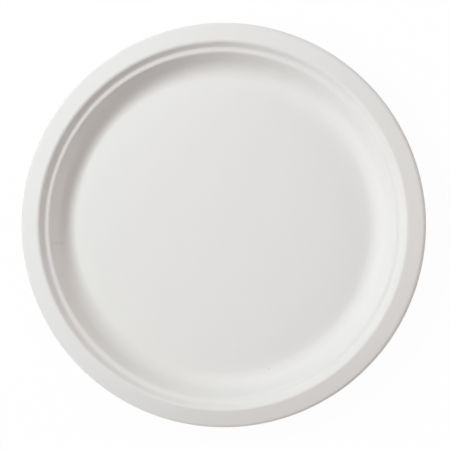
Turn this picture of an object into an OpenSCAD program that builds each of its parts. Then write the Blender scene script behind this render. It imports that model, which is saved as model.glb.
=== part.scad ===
// Round dinner plate pressed from wet paper pulp in one piece, with one wall thickness all over.
// A flat base runs through a wide bend into a steep side wall. Above it a sloping ledge, on which the
// next plate of a stack sits, and a riser lead up to the rim, and the rim curls down into a short lip.
// The origin is the centre of the base's underside and +Z is up. Every height is of the upper face.

/* [Plate] */
// Diameter over the trimmed edge of the lip
plate_d = 260; // [200:5:320]
// Height of the rim above the table
plate_h = 20; // [16:0.5:30]
// Thickness of the pressed pulp
wall_t = 0.7; // [0.5:0.1:1.2]

/* [Well] */
// Slope of the side wall, in degrees above the table
side_slope = 58.5; // [50:0.5:66]
// Inside radius of the bend between the base and the side wall
base_bend_r = 13; // [6:1:18]

/* [Stacking ledge] */
// Width of the ledge
ledge_w = 3.4; // [3:0.1:5]
// Slope of the ledge, which rises outwards
ledge_slope = 16; // [13:1:25]
// Inside radius of the bend over the ledge's inner edge
nose_bend_r = 3.2; // [1:0.2:4]
// Inside radius of the bend between the ledge and the riser
ledge_bend_r = 3.8; // [1:0.2:4]

/* [Rim] */
// Width of the rim, from the top of the riser to the trimmed edge
rim_w = 11.8; // [9:0.2:20]
// Slope of the rim, which drops outwards
rim_fall = 9.5; // [2:0.5:12]
// Height of the riser from the ledge to the rim
riser_h = 4.3; // [3.5:0.1:6]
// Slope of the riser
riser_slope = 53; // [46:1:60]
// Inside radius of the bend between the riser and the rim
rim_bend_r = 1.9; // [0.8:0.1:3]

/* [Lip] */
// Inside radius of the lip's bend
lip_bend_r = 3.1; // [1.5:0.1:4]
// Slope at which the lip ends, in degrees below the table's direction
lip_slope = 38; // [25:1:75]
// Straight length of the lip below its bend
lip_end = 0.2; // [0.1:0.1:1.5]

/* [Hidden] */

// Facets once round the plate
$fn = 180;
// Each chord along a bend turns by no more than this, in degrees
chord_turn = 7.5;
// Share of the side wall's free length that the bend at its foot may take
most_bend = 0.8;

// The rim's inner corner, placed so that its rounded top is at the plate's height
rim_top_r = rim_bend_r + wall_t;
rim_r = plate_d / 2 - rim_w;
rim_z = plate_h + rim_top_r * (cos((riser_slope - rim_fall) / 2) / cos((riser_slope + rim_fall) / 2) - 1);

// The riser's foot, the ledge's nose and the side wall's foot, from the rim inwards
riser_z = rim_z - riser_h;
riser_r = rim_r - riser_h / tan(riser_slope);
nose_z = riser_z - ledge_w * tan(ledge_slope);
nose_r = riser_r - ledge_w;
side_rise = nose_z - wall_t;
side_r = nose_r - side_rise / tan(side_slope);

// The bend at the side wall's foot fits in the length that the bend at its top leaves
nose_back = (nose_bend_r + wall_t) * tan((side_slope - ledge_slope) / 2);
side_length = side_rise / sin(side_slope) - nose_back;
side_bend_r = min(base_bend_r, most_bend * side_length / tan(side_slope / 2));

// The lip's corner stands back from the trimmed edge by the bend's tangent and the straight end
lip_length = (lip_bend_r + wall_t) * tan((lip_slope - rim_fall) / 2) + lip_end;
lip_r = plate_d / 2 - lip_length * cos(lip_slope);
lip_z = rim_z - (lip_r - rim_r) * tan(rim_fall);
edge_z = lip_z - lip_length * sin(lip_slope);

// Corners of the upper face from the axis to the edge: radius, height, inside radius of the bend
CORNERS = [
    [0, wall_t, 0],
    [side_r, wall_t, side_bend_r],
    [nose_r, nose_z, nose_bend_r],
    [riser_r, riser_z, ledge_bend_r],
    [rim_r, rim_z, rim_bend_r],
    [lip_r, lip_z, lip_bend_r],
    [plate_d / 2, edge_z, 0]
];
last = len(CORNERS) - 1;

// A corner's place, without its bend
function place(i) = [CORNERS[i].x, CORNERS[i].y];

// Slope of the straight that leaves corner i
function slope(i) = atan2(place(i + 1).y - place(i).y, place(i + 1).x - place(i).x);

// Turn at corner i, positive where the section bends upwards
function turn(i) = slope(i) - slope(i - 1);

// Unit vectors along a slope, and square to it on the table's side
function along(a) = [cos(a), sin(a)];
function under(a) = [sin(a), -cos(a)];

// Radius of the upper face at bend i: a bend that turns down has the wall inside it
function upper_r(i) = CORNERS[i].z + (turn(i) < 0 ? wall_t : 0);

// Centre of bend i, which both faces share
function centre(i) =
    place(i) - upper_r(i) * tan(abs(turn(i)) / 2) * along(slope(i - 1))
    - sign(turn(i)) * upper_r(i) * under(slope(i - 1));

// Points round bend i on the face that lies deep below the upper one
function bend(i, deep) =
    let (chords = ceil(abs(turn(i)) / chord_turn), side = sign(turn(i)))
    [for (k = [0:chords])
        centre(i) + (side * upper_r(i) + deep) * under(slope(i - 1) + turn(i) * k / chords)];

// One face of the plate, from the axis to the edge
function face(deep) = concat(
    [place(0) + deep * under(0)],
    [for (i = [1:last - 1]) each bend(i, deep)],
    [place(last) + deep * under(slope(last - 1))]
);

function reversed(points) = [for (i = [len(points) - 1:-1:0]) points[i]];

// The wall cut through on one side of the axis, with its edge trimmed square
module section() {
    polygon(concat(face(wall_t), reversed(face(0))));
}

module plate() {
    color([0.93, 0.925, 0.91])
        rotate_extrude()
            section();
}

plate();
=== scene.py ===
# %% [markdown]
# # A plate of moulded pulp
# A paper plate of this kind is sucked out of a vat of wet pulp onto a shaped wire mesh, pressed between two
# hot moulds and trimmed round its edge. It is one piece of one material, so everything that the eye has to
# go by is its section, the slight unevenness of a thing that dried, and a surface that is matt, pale and
# almost even. The lesson builds it in that order: the section, the cut edge, the unevenness, the pulp, and
# then a plain studio seen from straight above. All lengths in Blender are in metres.

# %% Load the fixed frame
import math

import bpy
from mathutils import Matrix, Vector


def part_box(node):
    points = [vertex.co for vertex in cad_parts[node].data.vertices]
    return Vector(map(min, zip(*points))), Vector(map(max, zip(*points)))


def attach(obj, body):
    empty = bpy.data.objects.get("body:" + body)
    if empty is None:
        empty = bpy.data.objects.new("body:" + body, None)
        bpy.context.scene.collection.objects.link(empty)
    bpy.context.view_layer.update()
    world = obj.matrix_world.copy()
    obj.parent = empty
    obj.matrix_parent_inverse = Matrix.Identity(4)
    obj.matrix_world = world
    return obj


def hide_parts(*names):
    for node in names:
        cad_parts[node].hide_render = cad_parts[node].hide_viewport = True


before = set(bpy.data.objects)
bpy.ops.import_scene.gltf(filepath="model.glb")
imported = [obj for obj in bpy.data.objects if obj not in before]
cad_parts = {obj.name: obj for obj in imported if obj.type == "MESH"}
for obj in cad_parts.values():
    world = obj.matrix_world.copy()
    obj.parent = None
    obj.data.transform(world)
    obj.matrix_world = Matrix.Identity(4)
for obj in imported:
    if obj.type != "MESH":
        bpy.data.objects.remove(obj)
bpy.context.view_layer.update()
low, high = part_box("plate")
MM = 0.001
plate_r = (high.x - low.x) / 2 / MM
plate_h = (high.z - low.z) / MM
print(f"plate {2 * plate_r:.1f} mm across and {plate_h:.1f} mm high")

# %% [markdown]
# ## The section
# A cut through one side of the plate is a chain of straights joined by bends. It could be traced point by
# point, but then no point would mean anything. Here each corner is placed by the sizes that a maker would
# state, working from the rim inwards and down, and the bends are put in afterwards. Heights are of the upper
# face, over the table.

# %% Sizes of the section, in millimetres and degrees
wall_t = 0.7
side_slope, base_bend_r = 58.5, 13.4
ledge_w, ledge_slope = 3.2, 15.5
nose_bend_r, ledge_bend_r = 2.9, 4.1
riser_h, riser_slope, rim_bend_r = 4.5, 53.2, 1.8
rim_w, rim_fall = 11.8, 9.3
lip_w, lip_bend_r = 1.8, 2.8
print(f"a wall of {wall_t} mm, a side at {side_slope} degrees and a rim {rim_w} mm wide")

# %% Corners of the upper face
def cosine(degrees):
    return math.cos(math.radians(degrees))


def tangent(degrees):
    return math.tan(math.radians(degrees))


rim_top_r = rim_bend_r + wall_t
crest = cosine((riser_slope - rim_fall) / 2) / cosine((riser_slope + rim_fall) / 2)
rim_r = plate_r - rim_w
rim_z = plate_h + rim_top_r * (crest - 1)
riser_r = rim_r - riser_h / tangent(riser_slope)
riser_z = rim_z - riser_h
nose_r = riser_r - ledge_w
nose_z = riser_z - ledge_w * tangent(ledge_slope)
foot_r = nose_r - (nose_z - wall_t) / tangent(side_slope)
lip_r = plate_r - lip_w
lip_z = rim_z - (lip_r - rim_r) * tangent(rim_fall)

corners = [
    (0, wall_t, 0), (foot_r, wall_t, base_bend_r), (nose_r, nose_z, nose_bend_r),
    (riser_r, riser_z, ledge_bend_r), (rim_r, rim_z, rim_bend_r), (lip_r, lip_z, 0),
]
for r, z, bend in corners:
    print(f"corner at radius {r:6.2f}, height {z:5.2f}, bend {bend}")

# %% [markdown]
# A sheet keeps its thickness through a bend only when both faces turn about one centre. So each bend is
# given by the radius on its inner side, and a bend that turns down has the wall inside that radius. The same
# function then gives either face: the upper one at depth 0 and the under one at the depth of the wall.

# %% Bends as arcs
arc_turn = math.radians(4)


def bend_points(before, corner, after, deep):
    """Points round one bend, on the face that lies deep below the upper one."""
    slope_in = math.atan2(corner[1] - before[1], corner[0] - before[0])
    slope_out = math.atan2(after[1] - corner[1], after[0] - corner[0])
    turn = slope_out - slope_in
    side = 1 if turn > 0 else -1
    radius = corner[2] + (wall_t if side < 0 else 0)
    back = radius * math.tan(abs(turn) / 2)
    centre_r = corner[0] - back * math.cos(slope_in) - side * radius * math.sin(slope_in)
    centre_z = corner[1] - back * math.sin(slope_in) + side * radius * math.cos(slope_in)
    reach = side * radius + deep
    chords = math.ceil(abs(turn) / arc_turn)
    slopes = [slope_in + turn * k / chords for k in range(chords + 1)]
    return [(centre_r + reach * math.sin(s), centre_z - reach * math.cos(s)) for s in slopes]


def face(deep):
    """One face from the axis to the place where the lip begins."""
    points = [(0, wall_t - deep)]
    for before, corner, after in zip(corners, corners[1:], corners[2:]):
        points += bend_points(before, corner, after, deep)
    fall = math.radians(-rim_fall)
    return points + [(lip_r + deep * math.sin(fall), lip_z - deep * math.cos(fall))]


print(len(face(0)), "points on the upper face", len(face(wall_t)), "on the under face")

# %% [markdown]
# The mould lifts the middle of the base a little, so that the plate stands on a ring near the wall and
# doesn't rock. The rise is a smooth function of the radius that is added to both faces. It needs points
# along the base, and the rim needs some too, because a later step bends it. So every long straight is
# divided.

# %% Raise the base and divide the straights
base_rise, rise_power = 1.55, 5.6
ring_r = foot_r - base_bend_r * tangent(side_slope / 2)
longest = 4.0


def divided(points):
    """The same chain, with no stretch longer than the longest that is allowed."""
    out = [points[0]]
    for (r0, z0), (r1, z1) in zip(points, points[1:]):
        parts = max(1, math.ceil(math.hypot(r1 - r0, z1 - z0) / longest))
        out += [(r0 + (r1 - r0) * k / parts, z0 + (z1 - z0) * k / parts) for k in range(1, parts + 1)]
    return out


def raised(points):
    """The same chain, with the middle of the base lifted off the table."""
    return [(r, z + base_rise * max(0, 1 - (r / ring_r) ** rise_power)) for r, z in points]


upper_face = raised(divided(face(0)))
under_face = raised(divided(face(wall_t)))
print(len(upper_face), "points above and", len(under_face), "below")
print(f"the plate stands on a ring of radius {ring_r:.1f} mm")

# %% [markdown]
# ## The lip
# Past the rim the mould curls down, and a round die cuts the sheet off somewhere along the curl. On this
# plate the die fell a millimetre to one side. That is why the lip is plain to see on one side and almost
# missing on the other. A shifted or stretched edge would look wrong. So the curl is one arc about one
# centre, and for each direction the arc is followed only as far as the die.

# %% Where the die cuts, in millimetres
trim_shift = Vector((0.95, 0.13))
lip_chords = 8


def cut_r(turn):
    """Distance from the form's axis to the cut, in one direction."""
    along = trim_shift.x * math.cos(turn) + trim_shift.y * math.sin(turn)
    across = trim_shift.x * math.sin(turn) - trim_shift.y * math.cos(turn)
    return along + math.sqrt(plate_r ** 2 - across ** 2)


def lip(turn, deep):
    """Points along the lip in one direction, from its start to the cut."""
    start = math.radians(rim_fall)
    reach = lip_bend_r + wall_t
    centre_r = lip_r - reach * math.sin(start)
    centre_z = lip_z - reach * math.cos(start)
    end = math.asin((cut_r(turn) - centre_r) / reach)
    slopes = [start + (end - start) * k / lip_chords for k in range(1, lip_chords + 1)]
    reach -= deep
    return [(centre_r + reach * math.sin(s), centre_z + reach * math.cos(s)) for s in slopes]


cut_heights = []
for turn in (0, math.pi):
    r, z = lip(turn, 0)[-1]
    cut_heights.append(z)
    print(f"at {math.degrees(turn):3.0f} degrees the lip ends at radius {r:.2f}, height {z:.2f}")
edge_z = sum(cut_heights) / 2

# %% [markdown]
# ## From section to plate
# A screw modifier would turn the section round the axis, but here the section differs from one direction to
# the next. So it is laid out slice by slice. The rim also droops more on one side than on the other, as thin
# pulp does when it dries. The droop is an angle added to the rim's fall. It is a sum of one, two and three
# waves round the plate, because a warped ring bends in just such waves. The ledge leans in the same manner,
# flatter in one direction and steeper in the other. It turns about its outer end, and the wall below makes
# up the difference in a curve that starts level at the base. A wave is given by how many of it go round the
# plate, how many degrees it adds at most, and the direction in degrees in which it does.

# %% Droop and lean
droop_waves = [(1, 5.6, 267), (2, 2.7, 87), (3, 0.4, 29)]
lean_waves = [(1, 4.2, 320), (2, 1.5, 245)]


def swing(waves, turn):
    """Sum of waves in one direction, as an angle in radians."""
    return sum(math.radians(size) * math.cos(count * (turn - math.radians(toward)))
               for count, size, toward in waves)


def place(r, z, turn):
    """A point of a slice, in metres, with the rim's droop and the ledge's lean."""
    drop = max(0, r - rim_r) * math.tan(swing(droop_waves, turn))
    lean = math.tan(swing(lean_waves, turn))
    if r > nose_r:
        drop += max(0, riser_r - r) * lean
    else:
        drop += ledge_w * lean * (max(0, r - ring_r) / (nose_r - ring_r)) ** 2
    return r * math.cos(turn) * MM, r * math.sin(turn) * MM, (z - drop) * MM


for toward in range(0, 360, 60):
    fall = rim_fall + math.degrees(swing(droop_waves, math.radians(toward)))
    rise = ledge_slope + math.degrees(swing(lean_waves, math.radians(toward)))
    print(f"at {toward:3d} degrees the rim falls by {fall:4.1f} degrees and the ledge rises by {rise:4.1f}")

# %% [markdown]
# The mesh is one closed skin. Each slice runs along the upper face outwards, over the cut edge, and back
# along the under face, and a single point on the axis closes it at each end. Each point also records which
# face it is on, because the pulp looks different on the side that lay on the wire.

# %% Lay out the slices
slices = 360
points = [(0, 0, upper_face[0][1] * MM)]
for k in range(slices):
    turn = 2 * math.pi * k / slices
    outwards = upper_face[1:] + lip(turn, 0)
    inwards = list(reversed(under_face[1:] + lip(turn, wall_t)))
    points += [place(r, z, turn) for r, z in outwards + inwards]
points.append((0, 0, under_face[0][1] * MM))
above = len(outwards)
slice_size = above + len(inwards)
on_upper = [1.0] + ([1.0] * above + [0.0] * len(inwards)) * slices + [0.0]
print(len(points), "points in", slices, "slices")

# %% Join the slices with faces
last = len(points) - 1
faces = []
for k in range(slices):
    here = 1 + k * slice_size
    there = 1 + (k + 1) % slices * slice_size
    faces.append((0, here, there))
    for j in range(slice_size - 1):
        faces.append((here + j, here + j + 1, there + j + 1, there + j))
    faces.append((last, there + slice_size - 1, here + slice_size - 1))

mesh = bpy.data.meshes.new("moulded_plate")
mesh.from_pydata(points, [], faces)
mesh.attributes.new("upper", "FLOAT", "POINT").data.foreach_set("value", on_upper)
mesh.update()
plate = bpy.data.objects.new("moulded_plate", mesh)
bpy.context.scene.collection.objects.link(plate)
print(len(faces), "faces")

# %% [markdown]
# The faces are shaded smooth, and the two edges that the die cut stay sharp.

# %% Smooth faces, sharp trimmed edges
mesh.shade_smooth()
for edge in mesh.edges:
    first, second = ((v - 1) % slice_size for v in edge.vertices)
    edge.use_edge_sharp = first == second and first in (above - 1, above)
print(sum(e.use_edge_sharp for e in mesh.edges), "sharp edges")

# %% [markdown]
# ## The pulp
# A material is a sum of small effects, and sums are easier to read as sums than as wires. The class below
# wraps one output of one node, so that adding or multiplying two of them puts the right node in between.

# %% A socket that can be reckoned with
class Shade:
    """One output of a node. Arithmetic on it adds Math nodes to the tree."""

    tree = None

    def __init__(self, socket):
        self.socket = socket

    @classmethod
    def node(cls, kind, settings, sockets, output=0):
        """Makes a node, sets it, then fills its sockets with values or with other shades."""
        made = cls.tree.nodes.new(kind)
        for name, value in settings.items():
            setattr(made, name, value)
        for name, value in sockets.items():
            if isinstance(value, Shade):
                cls.tree.links.new(value.socket, made.inputs[name])
            else:
                made.inputs[name].default_value = value
        return cls(made.outputs[output]) if made.outputs else None

    @classmethod
    def maths(cls, operation, first, second=0.0):
        """Makes one Math node. The second value stays unused where the operation takes only one."""
        return cls.node("ShaderNodeMath", {"operation": operation}, {0: first, 1: second})

    def __add__(self, other):
        return self.maths("ADD", self, other)

    def __sub__(self, other):
        return self.maths("SUBTRACT", self, other)

    def __rsub__(self, other):
        return self.maths("SUBTRACT", other, self)

    def __mul__(self, other):
        return self.maths("MULTIPLY", self, other)

    __radd__ = __add__


def start_nodes(owner):
    """Gives a material or a world an empty tree, into which the next nodes go."""
    owner.use_nodes = True
    owner.node_tree.nodes.clear()
    Shade.tree = owner.node_tree


pulp = bpy.data.materials.new("moulded_pulp")
start_nodes(pulp)
print("material", pulp.name)

# %% [markdown]
# Every pattern is laid out by the plate's own coordinates, so it stays on the plate when the plate moves.
# A mark is placed as it is seen from above, so for the marks the height is left out.

# %% Where on the plate
def between(value, start, end):
    """0 at the start, 1 at the end, and eased in between."""
    return Shade.node(
        "ShaderNodeMapRange", {"interpolation_type": "SMOOTHSTEP"},
        {"Value": value, "From Min": start, "From Max": end, "To Min": 0.0, "To Max": 1.0})


spot = Shade.node("ShaderNodeTexCoord", {}, {}, output="Object")
upper = Shade.node("ShaderNodeAttribute", {"attribute_name": "upper"}, {}, output="Fac")
flat_spot = Shade.node("ShaderNodeVectorMath", {"operation": "MULTIPLY"}, {0: spot, 1: (1.0, 1.0, 0.0)})
print("patterns are laid out in metres about the plate's axis")

# %% [markdown]
# ### Formation
# Held to the light, pulp is cloudy: the fibres settled a little thicker here than there. On the pressed face
# it shows as a very slow change of tone. Broad noise does this, and stays below what one would call a stain.
# Fibres are the lines along which a finer noise crosses its own middle.

# %% Clouds and fibres
noise_middle = 0.5
line_band = 0.035
long_share, short_share = 0.6, 0.4


def noise(scale, detail, roughness=0.5, distortion=0.0):
    """Noise about 0, with so many features to a metre."""
    made = Shade.node(
        "ShaderNodeTexNoise", {},
        {"Vector": spot, "Scale": scale, "Detail": detail, "Roughness": roughness, "Distortion": distortion})
    return made - noise_middle


def thread(scale, distortion):
    """Thin crooked lines, 1 on the line and 0 away from it."""
    away = Shade.maths("ABSOLUTE", noise(scale, detail=1.0, distortion=distortion))
    return 1 - between(away, 0.0, line_band)


clouds = noise(scale=70.0, detail=3.0)
long_fibres = thread(scale=260.0, distortion=1.5)
short_fibres = thread(scale=620.0, distortion=1.0)
grain = noise(scale=1500.0, detail=2.0, roughness=0.6)
fibres = long_fibres * long_share + short_fibres * short_share
print("clouds of about 14 mm, fibres of about 1.5 to 4 mm")

# %% [markdown]
# ### The two marks
# The photographed plate has a crease pressed across the left wall, and a speck at the foot of the wall near
# the bottom of the view. Each is a short stroke at a stated place, so it is made from two distances: one
# along the stroke and one across it. The strokes are on the upper face only.

# %% Strokes
full_along, full_across, gone = 0.3, 0.2, 0.5


def stroke(centre_r, toward, length, width, turn):
    """1 on a short line, at a radius in mm and a direction in degrees, turned away from the radius."""
    place_turn = math.radians(toward)
    line_turn = math.radians(toward + turn)
    centre = (centre_r * MM * math.cos(place_turn), centre_r * MM * math.sin(place_turn), 0.0)
    away = Shade.node("ShaderNodeVectorMath", {"operation": "SUBTRACT"}, {0: flat_spot, 1: centre})

    def fade(axis, size, full):
        """1 up to the full share of the size from the centre line, and 0 from half the size on."""
        distance = Shade.node(
            "ShaderNodeVectorMath", {"operation": "DOT_PRODUCT"}, {0: away, 1: axis}, output="Value")
        return 1 - between(Shade.maths("ABSOLUTE", distance), size * MM * full, size * MM * gone)

    along = fade((math.cos(line_turn), math.sin(line_turn), 0.0), length, full_along)
    across = fade((-math.sin(line_turn), math.cos(line_turn), 0.0), width, full_across)
    return along * across * upper


# The crease is pressed in as a shallow dent and is also darkened in colour; that darkening is painted shade.
crease_and_painted_shade = stroke(centre_r=107.3, toward=186.2, length=9.5, width=2.4, turn=-6.2)
speck = stroke(centre_r=98.0, toward=288.0, length=1.8, width=1.2, turn=72.0)
print("a crease on the left wall and a speck at the foot of the wall")

# %% [markdown]
# ### Colour
# White pulp isn't paper white: it is a shade warmer and reflects about seven tenths of the light. Three
# tones are enough: the common one, one for where the sheet is thin, and a dark one for the speck and for the
# shade painted into the crease. A Mix node holds sockets for numbers and vectors as well, so its colour
# sockets are taken by their places in its list.

# %% Colour
pulp_tone = (0.720, 0.709, 0.699, 1.0)
thin_tone = (0.697, 0.685, 0.671, 1.0)
# Dark tone for the speck's own colour and for the shade painted into the crease.
speck_and_shade_tone = (0.52, 0.50, 0.47, 1.0)
thin_everywhere, thin_in_clouds, thin_at_fibres = 0.25, 0.5, 0.12
painted_crease_shade_share, speck_share = 0.22, 0.5
colour_a, colour_b, colour_out = 6, 7, 2


def mixed(factor, first, second):
    """A colour on the way from the first to the second."""
    return Shade.node(
        "ShaderNodeMix", {"data_type": "RGBA"},
        {"Factor": factor, colour_a: first, colour_b: second}, output=colour_out)


thinness = clouds * thin_in_clouds + fibres * thin_at_fibres + thin_everywhere
tone = mixed(thinness, pulp_tone, thin_tone)
# The crease's share of the dark tone is painted shade; the speck's share is its own colour.
colour = mixed(crease_and_painted_shade * painted_crease_shade_share + speck * speck_share, tone, speck_and_shade_tone)
print("pulp", pulp_tone[:3], "and where it is thin", thin_tone[:3])

# %% [markdown]
# ### Relief
# The upper face met a polished mould, so its grain and its fibres stand only thousandths of a millimetre
# high, and the clouds a few hundredths. The under face keeps the weave of the wire it was formed on. Heights
# are added up in millimetres, and one Bump node with a distance of a millimetre turns them into a slope, so
# that a bump of 0.02 mm is a bump of 0.02 mm.

# %% Relief
grain_h, fibre_h, cloud_h = 0.006, 0.006, 0.06
weave_pitch, weave_h = 0.6, 0.02
crease_deep, speck_deep = 0.02, 0.03


def weave(pitch):
    """The print of a plain wire weave, about 0, with the pitch in mm."""
    turns = 2 * math.pi / (pitch * MM)
    warp = Shade.node("ShaderNodeSeparateXYZ", {}, {"Vector": spot}, output="X") * turns
    weft = Shade.node("ShaderNodeSeparateXYZ", {}, {"Vector": spot}, output="Y") * turns
    return Shade.maths("SINE", warp) * Shade.maths("SINE", weft)


height = grain * grain_h + fibres * fibre_h + clouds * cloud_h
height = height + (1 - upper) * weave(weave_pitch) * weave_h - crease_and_painted_shade * crease_deep - speck * speck_deep
relief = Shade.node("ShaderNodeBump", {}, {"Strength": 1.0, "Distance": MM, "Height": height})
print(f"grain of {grain_h} mm above, and a weave of {weave_h} mm below")

# %% [markdown]
# ### The surface
# Pressed pulp scatters nearly all light, with the faintest sheen at low angles where the mould was polished.
# The roughness varies with the fibres, and rises on the under face.

# %% Surface
pressed_rough, fibre_rough, wire_rough = 0.80, 0.06, 0.08
sheen = 0.25

surface = Shade.node("ShaderNodeBsdfPrincipled", {}, {
    "Base Color": colour, "Normal": relief, "Specular IOR Level": sheen,
    "Roughness": pressed_rough + fibres * fibre_rough + (1 - upper) * wire_rough})
Shade.node("ShaderNodeOutputMaterial", {}, {"Surface": surface})
mesh.materials.append(pulp)
print(len(pulp.node_tree.nodes), "nodes")

# %% [markdown]
# Nothing on a plate moves. So it rides on the frame's root, and stands for the frame's only node.

# %% Put the plate in the frame
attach(plate, "root")
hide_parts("plate")
print("moulded_plate stands for the node plate")

# %% [markdown]
# ## The table
# The plate was photographed on white. A floor lit up to white would throw light back at the plate, so it is
# white only to the camera: most of what the camera sees of it is a plain glow of strength 1, and the rest is
# an ordinary pale floor, which keeps the plate's soft shadow. It lies a hair below the plate.

# %% Floor
floor_half = 4.0
gap = 0.2 * MM
glow = 0.97
full_white = (1.0, 1.0, 1.0, 1.0)
floor_tone = (0.8, 0.8, 0.8, 1.0)

floor_mesh = bpy.data.meshes.new("floor")
corner_signs = [(-1, -1), (1, -1), (1, 1), (-1, 1)]
floor_mesh.from_pydata([(x * floor_half, y * floor_half, -gap) for x, y in corner_signs], [], [(0, 1, 2, 3)])
floor = bpy.data.objects.new("floor", floor_mesh)
bpy.context.scene.collection.objects.link(floor)
print("floor", 2 * floor_half, "m across")

# %% White to the camera
def seen_directly():
    """1 for the camera's own rays and for those that a mirror or a glass sends on."""
    seen = Shade.node("ShaderNodeLightPath", {}, {}, output="Is Camera Ray")
    seen = seen + Shade.node("ShaderNodeLightPath", {}, {}, output="Is Glossy Ray")
    seen = seen + Shade.node("ShaderNodeLightPath", {}, {}, output="Is Transmission Ray")
    return Shade.maths("MINIMUM", seen, 1.0)


table = bpy.data.materials.new("white_table")
start_nodes(table)
matt = Shade.node("ShaderNodeBsdfDiffuse", {}, {"Color": floor_tone})
glowing = Shade.node("ShaderNodeEmission", {}, {"Color": full_white, "Strength": 1.0})
both = Shade.node("ShaderNodeMixShader", {}, {0: seen_directly() * glow, 1: matt, 2: glowing})
Shade.node("ShaderNodeOutputMaterial", {}, {"Surface": both})
floor_mesh.materials.append(table)
print("of what the camera sees of the floor,", glow, "is glow")

# %% [markdown]
# Beyond the floor the world is white in the same way, and it lights nothing.

# %% World
world = bpy.data.worlds.new("studio")
start_nodes(world)
sky = Shade.node("ShaderNodeBackground", {}, {"Color": full_white, "Strength": seen_directly()})
Shade.node("ShaderNodeOutputWorld", {}, {"Surface": sky})
bpy.context.scene.world = world
print("world", world.name, "seen white")

# %% [markdown]
# ## The lamps
# The shading tells where the light came from. The wall on the left is dark and the wall on the right is
# bright, so most of the light came from the left and a little towards the top of the view, at about half
# height. The shade is soft and has several edges to it, as in a room with windows, so weaker and wider
# lights stand for those. The strongest lamp is a few hundredths cooler than white and the others are up to a
# tenth warmer. That leaves the shade on the left a little warmer than the lit wall, as daylight and
# lamplight do together.
#
# Each lamp is a rectangle that faces the plate. Its strength is the light that it throws on a surface held
# square to it, in units in which 1 makes a white surface render white. A rectangle of power P throws
# P / (pi x distance squared) on that surface, and the surface sends one part in pi of it to the camera, so
# pi comes in twice.

# %% Lamps
def lamp(name, toward, elevation, distance, width, tall, light, tint):
    """A rectangular lamp at a direction and an elevation in degrees, with lengths in metres."""
    data = bpy.data.lights.new(name, "AREA")
    data.shape = "RECTANGLE"
    data.size, data.size_y = width, tall
    data.energy = light * math.pi ** 2 * distance ** 2
    data.color = tint
    made = bpy.data.objects.new(name, data)
    a, e = math.radians(toward), math.radians(elevation)
    outwards = Vector((math.cos(a) * math.cos(e), math.sin(a) * math.cos(e), math.sin(e)))
    made.location = outwards * distance
    made.rotation_euler = (-outwards).to_track_quat("-Z", "Y").to_euler()
    made.visible_camera = False
    bpy.context.scene.collection.objects.link(made)


lamp("key_lamp", toward=155, elevation=43, distance=1.14, width=0.63, tall=0.20,
     light=0.766, tint=(0.93, 1.02, 1.02))
lamp("left_lamp", toward=198, elevation=43, distance=2.95, width=2.45, tall=0.60,
     light=0.248, tint=(1.08, 0.98, 0.99))
lamp("low_left_lamp", toward=186, elevation=20, distance=2.95, width=2.58, tall=0.92,
     light=0.136, tint=(1.06, 0.98, 1.01))
lamp("low_right_lamp", toward=30, elevation=18, distance=2.45, width=1.45, tall=0.74,
     light=0.171, tint=(1.10, 0.98, 0.94))
lamp("grazing_lamp", toward=33, elevation=6, distance=3.00, width=1.24, tall=0.66,
     light=0.073, tint=(1.02, 1.00, 0.95))
lamp("top_lamp", toward=73, elevation=44, distance=0.75, width=0.66, tall=0.14,
     light=0.173, tint=(1.04, 0.99, 1.01))
lamp("right_lamp", toward=336, elevation=54, distance=0.75, width=0.46, tall=0.09,
     light=0.180, tint=(1.05, 0.99, 0.95))
lamp("front_lamp", toward=302, elevation=19, distance=0.76, width=0.42, tall=0.25,
     light=0.130, tint=(1.06, 0.98, 0.93))
print(sum(data.type == "AREA" for data in bpy.data.lights), "lamps")

# %% [markdown]
# ## The camera
# The view is from straight above, and far enough away that the wall isn't hidden by the rim on any side. The
# plate lies a little to the left of the middle of the picture, so the camera stands a little to the right of
# its axis. The lens follows from the distance: at the height of the cut edge the frame has to take in the
# plate and the white margin round it.

# %% Camera
camera_x, camera_y, camera_h = 0.001647, 0.000254, 1.5
frame_half = 144.65 * MM
sensor = 36.0
camera_data = bpy.data.cameras.new("camera")
camera_data.sensor_width = sensor
camera_data.lens = sensor / 2 * (camera_h - edge_z * MM) / frame_half
camera = bpy.data.objects.new("camera", camera_data)
camera.location = (camera_x, camera_y, camera_h)
bpy.context.scene.collection.objects.link(camera)
bpy.context.scene.camera = camera
bpy.context.scene.view_settings.view_transform = "Standard"
print(f"lens {camera_data.lens:.0f} mm")
